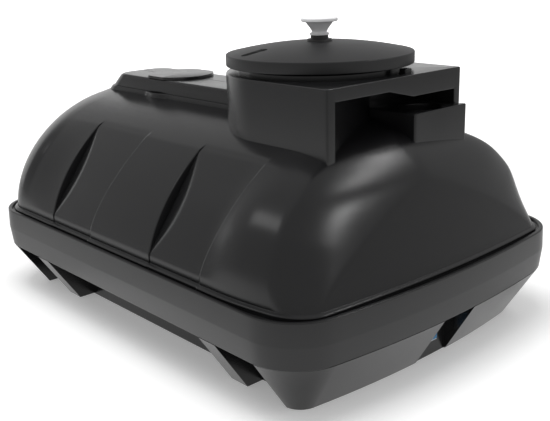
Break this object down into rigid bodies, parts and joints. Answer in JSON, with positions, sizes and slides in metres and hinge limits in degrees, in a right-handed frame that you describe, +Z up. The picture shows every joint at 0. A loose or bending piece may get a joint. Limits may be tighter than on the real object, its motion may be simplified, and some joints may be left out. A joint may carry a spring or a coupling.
{
  "type": "drinking water tank",
  "caption": "Low black drinking water tank with an arched body, a belt, moulded feet and a round lift-off manway lid.",
  "frame": {"origin": "on the floor under the middle of the tank", "axes": "+X along the long side towards the end with the manway turret, +Y across the tank, +Z up"},
  "size_m": [1.7996, 1.284, 1.034],
  "materials": {
    "shell": "satin",
    "lid": "satin",
    "seal": "matte",
    "vent": "satin",
    "vent_stem": "matte",
    "fitting": "gloss"
  },
  "bodies": {
    "tank": {"base_floor": "shell", "outlet_wall": "shell", "foot_end_front": "shell", "foot_end_rear": "shell", "side_feet": "shell", "side_walls": "shell", "belt_lower": "shell", "belt_upper": "shell", "dome_middle": "shell", "pocket_bands": "shell", "dome_front": "shell", "dome_rear": "shell", "turret_deck": "shell", "turret_wall": "shell", "neck_ring": "shell", "fill_platform": "shell", "fill_socket": "shell", "spine": "shell", "spine_disc": "shell", "outlet_boss": "vent", "outlet_fitting": "fitting"},
    "lid": {"lid_cover": "lid", "lid_plate": "lid", "lid_seal": "seal", "vent_collar": "vent_stem", "vent_stem": "vent_stem", "vent_cap": "vent"}
  },
  "joints": [
    {"name": "lid_lift", "type": "slide", "parent": "tank", "child": "lid", "axis": [0, 0, 1], "range_m": [0, 0.3]}
  ]
}
